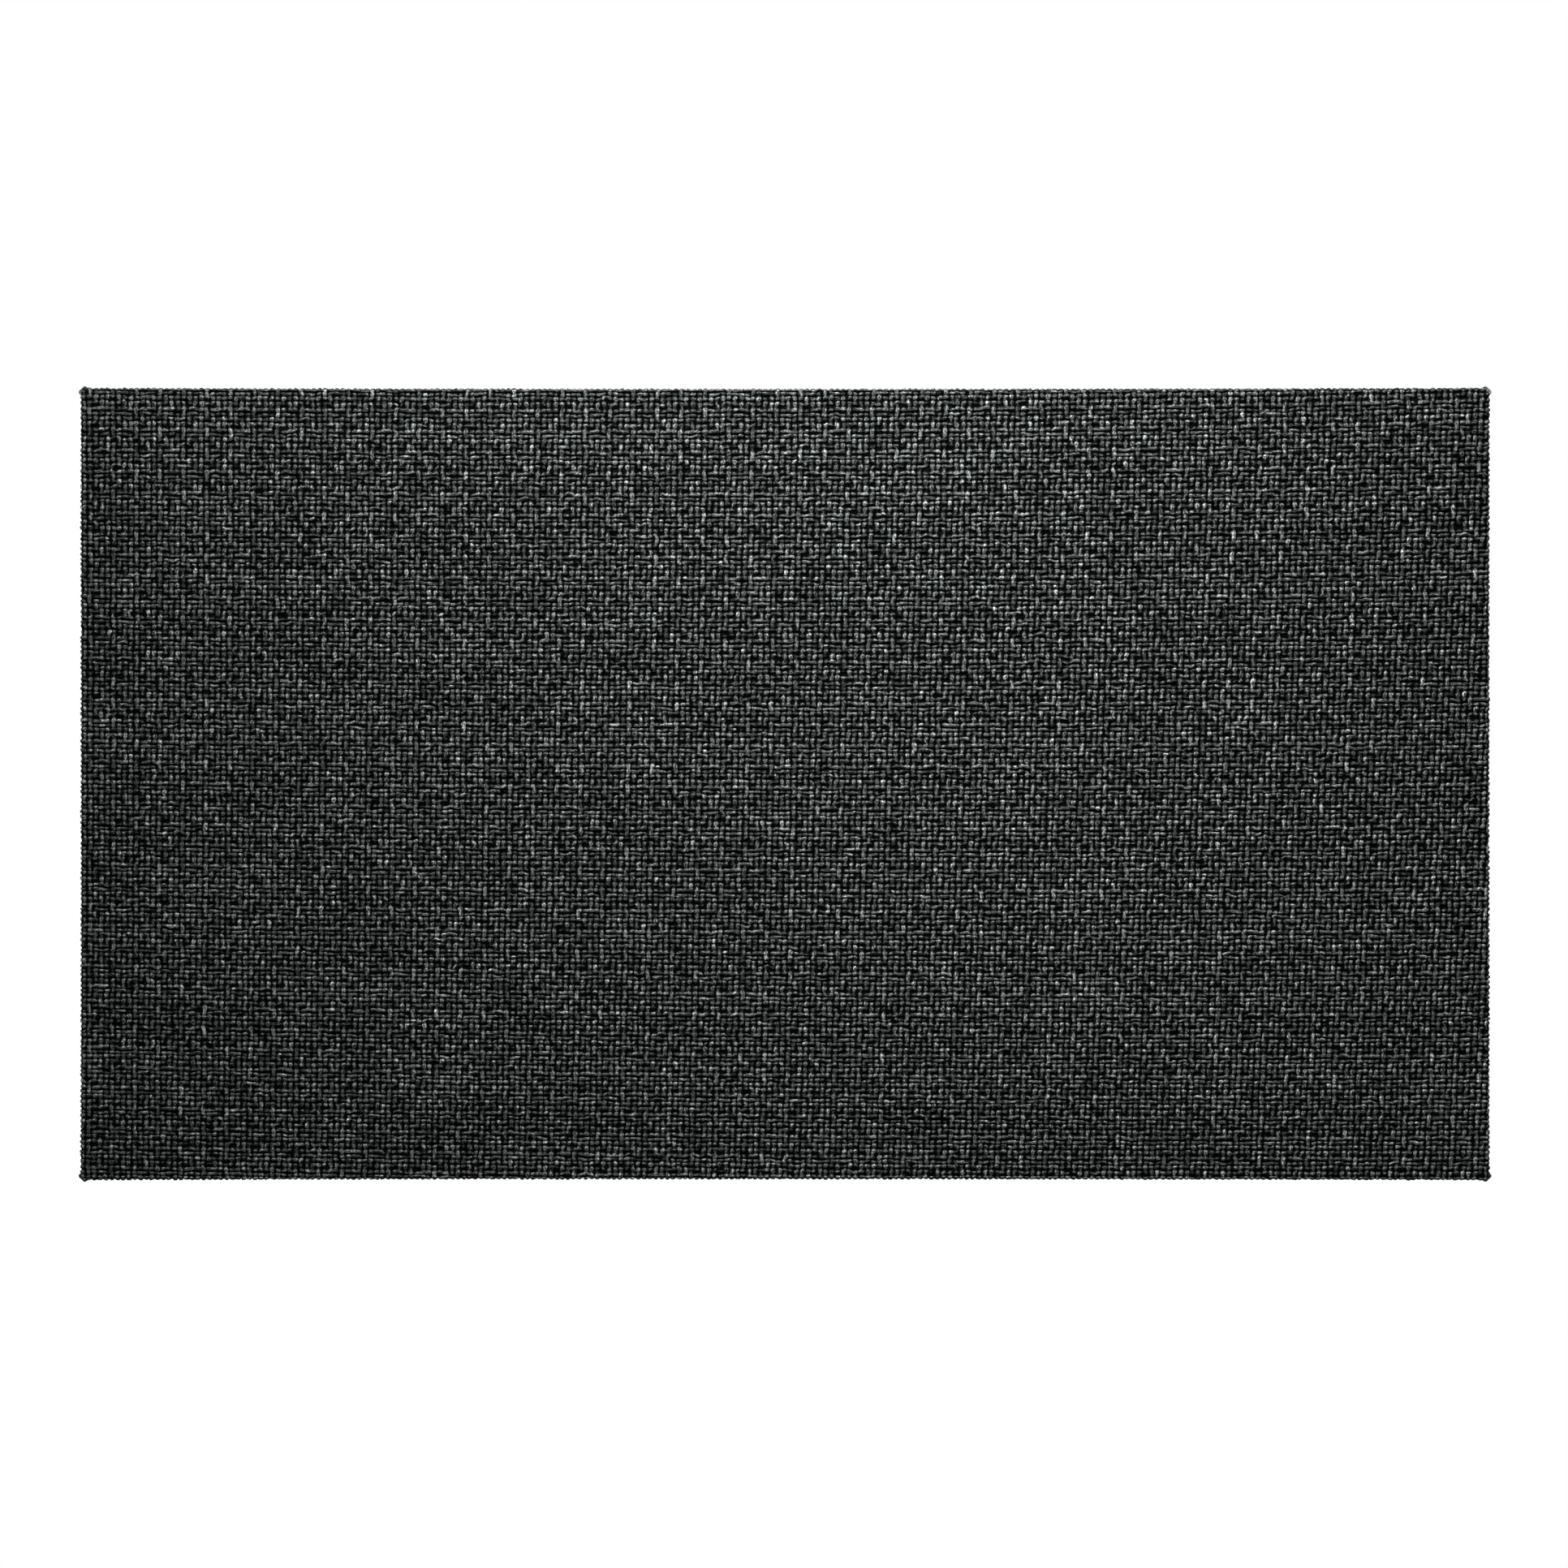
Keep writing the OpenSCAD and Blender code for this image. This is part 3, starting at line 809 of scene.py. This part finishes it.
def woven_cloth():
    """Charcoal melange yarn: a tone for each float, flecked fibres, two-ply twist, and painted shade in
    the gaps between yarns, deep in the relief, by the seams and under the staples.
    """
    made, tree, surface = material(
        "woven_cloth", 0.9, Sheen_Weight=0.005, Sheen_Roughness=0.4, Specular_IOR_Level=0.0
    )
    surface["Sheen Tint"].default_value = YARN_TINT + (1.0,)
    weave_at = node(tree, "Attribute", output="Vector", attribute_name="weave")
    yarn_at = node(tree, "Attribute", output="Vector", attribute_name="yarn")
    count_u, count_v, on_warp = parts(weave_at)
    float_tone, depth, shadow = parts(yarn_at)
    warp = maths("GREATER_THAN", on_warp, 0.5)

    def chosen(for_warp, for_weft):
        return for_warp * warp + for_weft * (1.0 - warp)

    across = maths("FRACT", chosen(count_u, count_v)) - 0.5
    along = chosen(count_v, count_u)
    lane = maths("FLOOR", chosen(count_u, count_v))
    beside = across / chosen(WARP_HALF, WEFT_HALF)
    off = abs(beside)
    # Painted shade: darker towards each yarn's sides, deep in the relief, and by the seams and staples
    # (the third number of the yarn attribute)
    side = smooth(off, 0.78, 1.0)
    deep = smooth(depth, 0.20, 0.60)
    shade = maths("MAXIMUM", maths("MAXIMUM", side, deep), shadow)

    # Each yarn is two strands that twist round each other, with a tone of their own
    twist = smooth(noise(joined(along, lane * LANE_STEP, warp), 0.9, 1.0), 0.3, 0.7, -0.55, 0.55)
    across_ply = beside + twist
    groove = smooth(abs(across_ply), 0.0, 0.26)
    ply_at = stretched(joined(along * 1.4, lane, maths("SIGN", across_ply)), (1.0, 5.3, 4.1))
    ply_tone = smooth(noise(ply_at, 1.0, 1.0), 0.3, 0.7, 0.5, 1.5)

    # Fibres: short flecks along the yarn, fuzz over the gaps, and slow clouds over the cloth
    fleck_at = stretched(joined(across, along, lane * LANE_STEP), (4.6, 3.0, 1.0))
    fleck = noise(fleck_at, 1.0, 2.0, 0.6)
    fuzz = smooth(noise(stretched(weave_at, (3.1, 3.7, 0.0)), 1.0, 1.0), 0.34, 0.66)
    cloud = noise(stretched(weave_at, (0.045, 0.06, 0.0)), 1.0, 2.0, 0.5)

    # Painted shade: the tone drops to 0.4 in the groove between the two strands
    tone = float_tone * smooth(fleck, 0.34, 0.66, 0.22, 1.78) * (groove * 0.6 + 0.4) * ply_tone
    tone = tone * smooth(cloud, 0.3, 0.7, 0.94, 1.06) * YARN_TONE
    # Painted shade takes the colour almost to black in the gaps; only a little fibre fuzz is left there
    left_by_painted_shade = maths("MAXIMUM", 1.0 - shade * 0.985, fuzz * 0.02)
    paint(surface, tone * left_by_painted_shade * (fuzz * 0.3 + 0.85), YARN_TINT)

    round_top = maths("SQRT", maths("SUBTRACT", 1.0, off * off, clamp=True))
    bump(surface, round_top + groove * 0.5 + fleck * 0.4, 0.28 * MM)
    return made


def nonwoven_cloth():
    """Thin black spun cloth: a haze of fibres, bonded together in rows of small dots."""
    made, tree, surface = material("nonwoven_cloth", 0.7, Sheen_Weight=0.15, Specular_IOR_Level=0.3)
    at = position(tree)
    rows = {"Vector": stretched(at, (640, 0, 640)), "Scale": 1.0, "Randomness": 0.12}
    dot = smooth(node(tree, "TexVoronoi", rows), 0.20, 0.30, 1.0, 0.0)
    fibres = noise(stretched(at, (900, 900, 3200)), 1.0, 4.0, 0.6, 1.6)
    crossed = noise(stretched(at, (3200, 900, 900)), 1.0, 4.0, 0.6, 1.6)
    haze = maths("MAXIMUM", fibres, crossed)
    cloud = noise(at, 60.0, 3.0)
    tone = smooth(haze, 0.45, 0.8, 0.012, 0.050) * smooth(cloud, 0.3, 0.7, 0.8, 1.2)
    paint(surface, tone * (1.0 - dot * 0.55), (1.0, 1.0, 1.06))
    feed(surface["Roughness"], smooth(dot, 0.0, 1.0, 0.78, 0.36))
    bump(surface, haze * 0.8 - dot, 0.12 * MM)
    return made


def plywood():
    """Birch plywood: long grain with darker late wood on its faces, and its plies on the edges."""
    made, tree, surface = material("plywood", 0.6, Specular_IOR_Level=0.3)
    at = position(tree)
    slow = noise(stretched(at, (3.0, 20, 24)), 1.0, 3.0, 0.5, 0.4)
    late = smooth(maths("FRACT", slow * 13.0), 0.55, 1.0)
    pores = noise(stretched(at, (70, 1600, 1600)), 1.0, 3.0, 0.6)
    pore = smooth(pores, 0.58, 0.70)
    face = blend(late, (0.56, 0.38, 0.20, 1), (0.43, 0.27, 0.13, 1))
    face = blend(pore * 0.5, face, (0.26, 0.15, 0.07, 1))
    ply = maths("FRACT", parts(at)[1] / (2 * PLY))
    glue = smooth(abs(ply - 0.5), 0.0, 0.05, 1.0, 0.0)
    speckle = noise(at, 1500.0, 2.0)
    edge = blend(smooth(ply, 0.47, 0.53), (0.58, 0.41, 0.23, 1), (0.27, 0.165, 0.085, 1))
    edge = blend(glue * 0.6, edge, (0.10, 0.055, 0.03, 1))
    edge = blend(smooth(speckle, 0.45, 0.75, 0.0, 0.45), edge, (0.16, 0.09, 0.045, 1))
    feed(surface["Base Color"], blend(facing(tree, 1), edge, face))
    feed(surface["Roughness"], smooth(pores, 0.3, 0.7, 0.5, 0.72))
    bump(surface, speckle * 0.4 - pore, 0.06 * MM, 0.7)
    return made


def foam(name, low, high, cell, depth):
    """Cut foam: open cells of one size, a little yellowed in patches, with painted shade in each cell's
    hollow.
    """
    made, tree, surface = material(name, 0.9, Specular_IOR_Level=0.15)
    at = position(tree)
    to_wall = node(tree, "TexVoronoi", {"Vector": at, "Scale": 1 / cell}, feature="DISTANCE_TO_EDGE")
    wall = smooth(to_wall, 0.02, 0.20, 1.0, 0.0)
    colour = blend(noise(at, 30.0, 4.0, 0.6), low + (1,), high + (1,))
    # Painted shade: the hollow of each cell is darkened towards black, away from its walls
    feed(surface["Base Color"], blend(0.6 - wall * 0.6, colour, grey(0.0)))
    bump(surface, wall, depth)
    return made


CHIP_SHADES = [(0.10, 0.16, 0.27), (0.33, 0.36, 0.40), (0.05, 0.055, 0.06), (0.50, 0.49, 0.44),
               (0.16, 0.24, 0.30), (0.42, 0.28, 0.26)]


def crumb_foam():
    """Chips of many foams, bonded: each chip has a colour of its own, with painted shade in its pores and
    in the crevices between chips.
    """
    made, tree, surface = material("core_foam", 0.9, Specular_IOR_Level=0.15)
    at = position(tree)
    sway = node(tree, "TexNoise", {"Vector": at, "Scale": 220.0, "Detail": 2.0}, "Color")
    bent = node(tree, "VectorMath", {0: sway, 1: (0.004,) * 3, 2: at}, operation="MULTIPLY_ADD")
    chips = {"Vector": bent, "Scale": 150.0}
    pick = node(tree, "SeparateColor", {0: node(tree, "TexVoronoi", chips, "Color")}, "Red")
    to_edge = node(tree, "TexVoronoi", chips, feature="DISTANCE_TO_EDGE")
    shade_of = node(tree, "ValToRGB", {0: pick})
    ramp = shade_of.socket.node.color_ramp
    ramp.interpolation = "CONSTANT"
    ramp.elements.remove(ramp.elements[1])
    for number, shade in enumerate(CHIP_SHADES):
        knot = ramp.elements.new(number / len(CHIP_SHADES)) if number else ramp.elements[0]
        knot.color = shade + (1,)
    pores = noise(at, 1400.0, 3.0, 0.7)
    seam = smooth(to_edge, 0.0, 0.08, 1.0, 0.0)
    # Painted shade: darker in the pores
    colour = blend(smooth(pores, 0.35, 0.65, 0.45, 0.0), shade_of, grey(0.02))
    # Painted shade: darker in the crevices between chips
    feed(surface["Base Color"], blend(seam * 0.7, colour, grey(0.01)))
    bump(surface, pores * 0.5 - seam, 0.35 * MM)
    return made


def felt():
    """Needled white felt: a tangle of fibres with a few darker ones."""
    made, tree, surface = material("felt", 0.95, Sheen_Weight=0.3, Specular_IOR_Level=0.15)
    at = position(tree)
    tangle = noise(at, 900.0, 5.0, 0.7, 2.5)
    tuft = noise(at, 120.0, 3.0)
    tone = smooth(tangle, 0.35, 0.65, 0.48, 0.80) * smooth(tuft, 0.3, 0.7, 0.88, 1.05)
    paint(surface, tone, (1.0, 0.985, 0.94))
    bump(surface, tangle + tuft, 0.3 * MM)
    return made


def aluminium(name, seed):
    """Anodised extrusion: drawing lines along it, sawn ends and a few scuffs."""
    made, tree, surface = material(name, 0.34, 1.0)
    at = node(tree, "VectorMath", {0: position(tree), 1: (seed,) * 3}, operation="ADD")
    drawn = noise(stretched(at, (5, 2600, 2600)), 1.0, 3.0, 0.6)
    broad = noise(stretched(at, (3, 240, 240)), 1.0, 2.0)
    sawn = noise(stretched(at, (2200, 2200, 90)), 1.0, 2.0, 0.5, 0.6)
    scuff = smooth(noise(stretched(at, (60, 420, 90)), 1.0, 5.0, 0.75, 1.2), 0.62, 0.72)
    end = facing(tree, 0)
    lines = drawn + (sawn - drawn) * end
    tone = smooth(lines, 0.25, 0.75, 0.50, 0.66) * smooth(broad, 0.3, 0.7, 0.93, 1.04)
    paint(surface, tone + scuff * 0.10, (0.985, 0.99, 1.0))
    rough = smooth(drawn, 0.3, 0.7, 0.26, 0.42)
    feed(surface["Roughness"], rough + (0.5 - rough) * end + scuff * 0.12)
    bump(surface, lines, 0.035 * MM, 0.8)
    return made


def head_rings(tree, screws):
    """How far a point is from the axis of the nearest screw, as a share of its head's radius."""
    widths = screws[:, 1, 0] - screws[:, 0, 0]
    middles = screws[widths > 0.98 * widths.max()].mean(axis=1)  # only the heads' own faces
    here = parts(position(tree))
    squares = []
    for axis in (0, 2):
        nearest = 1.0
        for middle in sorted({round(float(value), 5) for value in middles[:, axis]}):
            nearest = maths("MINIMUM", abs(here[axis] - middle), nearest)
        squares.append(nearest * nearest)
    return maths("SQRT", squares[0] + squares[1]) / (float(widths.max()) / 2)


def plated(name, shades, roughness, grain, screws=None):
    """Plated steel: a mottled film in two shades, with fine working marks.

    The flat heads of countersunk screws are turned, and painted shade darkens their rims.
    """
    made, tree, surface = material(name, roughness, 1.0)
    at = position(tree)
    film = noise(at, 260.0, 3.0, 0.6, 0.8)
    marks = noise(stretched(at, grain), 1.0, 3.0, 0.6)
    colour = blend(smooth(film, 0.35, 0.65), shades[0] + (1,), shades[1] + (1,))
    colour = blend(smooth(marks, 0.5, 0.8, 0.0, 0.5), colour, grey(0.12))
    if screws is not None:
        out = head_rings(tree, screws)
        marks = marks + maths("SINE", out * 60.0) * 0.35
        # Painted shade: almost black round each head's rim
        colour = blend(smooth(out, 0.86, 0.93), colour, grey(0.01))
    feed(surface["Base Color"], colour)
    feed(surface["Roughness"], smooth(marks, 0.3, 0.7, roughness - 0.08, roughness + 0.14))
    bump(surface, marks, 0.03 * MM)
    return made


def moulded(name, dark, light, roughness, dust):
    """Moulded rubber or nylon: a fine spark-eroded skin, scuffed paler in patches."""
    made, tree, surface = material(name, roughness, Specular_IOR_Level=0.35)
    at = position(tree)
    skin = noise(at, 1800.0, 2.0, 0.6)
    scuffs = noise(at, 140.0, 6.0, 0.75, 0.8)
    scuff = smooth(scuffs, 0.52, 0.72)
    paint(surface, smooth(skin, 0.3, 0.7, dark, light) + scuff * dust, (1.0, 0.995, 0.985))
    feed(surface["Roughness"], scuff * 0.12 + roughness)
    bump(surface, scuffs * 0.6 + skin, 0.05 * MM)
    return made


def thread():
    """Bonded black thread, with the slant of its plies, and painted shade in the grooves between them."""
    made, tree, surface = material("seam_thread", 0.55, Sheen_Weight=0.1)
    at = position(tree)
    slant = node(tree, "VectorMath", {0: at, 1: (1500, 1900, -1500)}, "Value", operation="DOT_PRODUCT")
    ply = maths("SINE", slant) * 0.5 + 0.5
    # Painted shade: the tone falls to a quarter in the grooves between plies
    tone = smooth(ply, 0.0, 1.0, 0.012, 0.05) * (noise(at, 2600.0, 2.0) + 0.5)
    paint(surface, tone, YARN_TINT)
    bump(surface, ply, 0.06 * MM)
    return made


# ---------------------------------------- camera, light and floor

def soft_light(name, start, aim, size, power, spread=180):
    data = bpy.data.lights.new(name, "AREA")
    data.shape = "DISK"
    data.size = size
    data.energy = power
    data.spread = math.radians(spread)
    made = add_object(name, data)
    made.location = start
    made.rotation_mode = "QUATERNION"
    made.rotation_quaternion = (Vector(aim) - Vector(start)).to_track_quat("-Z", "Y")


def make_camera():
    """Straight on to the face, far off, with the pad's width nine tenths of the picture."""
    distance, sensor = 3.0, 36.0
    seen_width = 2 * HALF_W / 0.9001
    data = bpy.data.cameras.new("camera")
    data.sensor_width = sensor
    data.lens = sensor * (distance + FRONT_Y) / seen_width
    data.clip_end = 60
    made = add_object("camera", data)
    made.location = (CENTRE_X - 0.3 * MM, -distance, CENTRE_Z)
    made.rotation_euler = (math.pi / 2, 0, 0)
    bpy.context.scene.camera = made


def make_world():
    """White to the camera. It lights the pad's back and the floor more than the pad's face."""
    front, back = 0.10, 0.85
    world = bpy.data.worlds.new("studio")
    world.use_nodes = True
    tree = world.node_tree
    tree.nodes.clear()
    seen = node(tree, "LightPath", output="Is Camera Ray")
    behind = parts(node(tree, "TexCoord", output="Generated"))[1]
    strength = smooth(behind, 0.0, 0.5, front, back)
    light = node(tree, "Background", {"Color": grey(1.0), "Strength": strength})
    white = node(tree, "Background", {"Color": grey(1.0), "Strength": 1.0})
    sky = node(tree, "MixShader", {0: seen, 1: light, 2: white})
    feed(tree.nodes.new("ShaderNodeOutputWorld").inputs["Surface"], sky)
    bpy.context.scene.world = world


def make_floor():
    """A pale floor over a metre below the pad, which fades into the white far from it."""
    radius, drop = 12.0, 1.2
    made, tree, surface = material("floor_paint", 0.6)
    at = position(tree)
    paint(surface, smooth(noise(at, 3.0, 4.0), 0.3, 0.7, 0.80, 0.83))
    far = node(tree, "VectorMath", {0: at}, "Value", operation="LENGTH")
    feed(surface["Alpha"], smooth(far, 2.5, radius * 0.95, 1.0, 0.0))
    bm = bmesh.new()
    bmesh.ops.create_circle(bm, cap_ends=True, segments=96, radius=radius)
    mesh = bpy.data.meshes.new("floor")
    bm.to_mesh(mesh)
    bm.free()
    floor = add_object("floor", mesh)
    floor.location = (0, 0, CENTRE_Z - drop)
    mesh.materials.append(made)


def make_studio():
    make_camera()
    make_world()
    make_floor()
    face = (CENTRE_X, FRONT_Y, CENTRE_Z)
    back = (0, 0, CENTRE_Z)
    bright_spot = (CENTRE_X + 0.05, FRONT_Y, CENTRE_Z + 0.075)  # where the key falls strongest
    soft_light("key", (-0.12, FRONT_Y - 0.45, CENTRE_Z + 0.76), bright_spot, 0.12, 4.2, spread=60)
    soft_light("fill", (-1.0, -2.2, 0.3), face, 1.4, 3)
    soft_light("back_left", (-0.9, 1.7, 1.2), back, 1.8, 26)
    soft_light("back_right", (1.5, 1.2, 0.3), back, 1.4, 16)
    bpy.context.scene.view_settings.view_transform = "Standard"


# ---------------------------------------- assembly

def put_on_pad(piece, made_of, slot, *nodes):
    """Gives a piece its material and puts it on the pad in place of CAD nodes."""
    piece.data.materials.append(made_of)
    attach(piece, PAD)
    if nodes:
        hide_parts(*nodes)
    return piece


def finish_cad(made_of, *names, edge=0.0):
    """Gives CAD nodes their material, and breaks their sharp edges."""
    for name in names:
        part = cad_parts[name]
        part.data.materials.clear()
        part.data.materials.append(made_of)
        if edge:
            broken = part.modifiers.new("broken_edges", "BEVEL")
            broken.width = edge
            broken.segments = 2
            broken.limit_method = "ANGLE"
            broken.angle_limit = math.radians(50)
            broken.use_clamp_overlap = True


def make_cloth_pieces(crown):
    cover_staples, dust_staples = islands("cover_staples"), islands("dust_cover_staples")
    cover = make_cover(crown, cover_staples)
    put_on_pad(cover, woven_cloth(), "woven_cloth", "woven_cover")
    put_on_pad(make_thread(), thread(), "woven_cloth")
    dust = make_dust_cover(dust_staples)
    put_on_pad(dust, nonwoven_cloth(), "nonwoven_cloth", "dust_cover")


def make_layers(crown):
    dark = foam("base_foam", (0.022, 0.022, 0.024), (0.040, 0.040, 0.043), 0.6 * MM, 0.05 * MM)
    cream = foam("face_foam", (0.62, 0.60, 0.52), (0.70, 0.69, 0.64), 1.1 * MM, 0.15 * MM)
    base = soft_block("base_foam_block", "base_foam", 6 * MM, skin_relief)
    core = soft_block("core_foam_block", "core_foam", 2.6 * MM, crumb_relief)
    front = soft_block("face_foam_block", "face_foam", 6 * MM, skin_relief)
    for piece, made_of, slot, node_name, fill in (
        (base, dark, "base_foam", "base_foam", 1.0),
        (core, crumb_foam(), "core_foam", "core_foam", 0.9),
        (front, cream, "face_foam", "face_foam", 0.8),
        (make_felt(crown), felt(), "felt", "felt_wadding", 0.6),
    ):
        put_on_pad(piece, made_of, slot, node_name)


def finish_hardware():
    finish_cad(plywood(), "backing_board", edge=0.8 * MM)
    finish_cad(aluminium("wall_cleat", 0.3), "wall_cleat_upper", "wall_cleat_lower", edge=0.22 * MM)
    finish_cad(aluminium("pad_cleat", 0.7), "pad_cleat_upper", "pad_cleat_lower", edge=0.22 * MM)
    nylon = moulded("end_stop", 0.022, 0.034, 0.42, 0.03)
    finish_cad(nylon, "end_stop_left", "end_stop_right", edge=0.3 * MM)
    bright = plated("zinc_screws", ((0.56, 0.57, 0.58), (0.43, 0.44, 0.46)), 0.34, (900, 900, 2600))
    finish_cad(bright, "end_stop_screws", "bumper_screws", edge=0.12 * MM)
    flush = plated("cleat_screws", ((0.36, 0.37, 0.39), (0.25, 0.26, 0.28)), 0.36, (900, 900, 2600),
                   islands("cleat_screws"))
    finish_cad(flush, "cleat_screws")
    yellow = plated("yellow_zinc", ((0.66, 0.50, 0.22), (0.56, 0.47, 0.36)), 0.34, (1800, 600, 1800))
    finish_cad(yellow, "tee_nuts", edge=0.12 * MM)
    wire = plated("staple_wire", ((0.52, 0.53, 0.55), (0.40, 0.41, 0.43)), 0.42, (1500, 1500, 1500))
    finish_cad(wire, "cover_staples", "dust_cover_staples", edge=0.15 * MM)
    finish_cad(moulded("bumper_rubber", 0.014, 0.024, 0.62, 0.022), *BUMPERS, edge=0.5 * MM)


make_studio()
crown_shape = simulate_crown()
make_cloth_pieces(crown_shape)
make_layers(crown_shape)
finish_hardware()
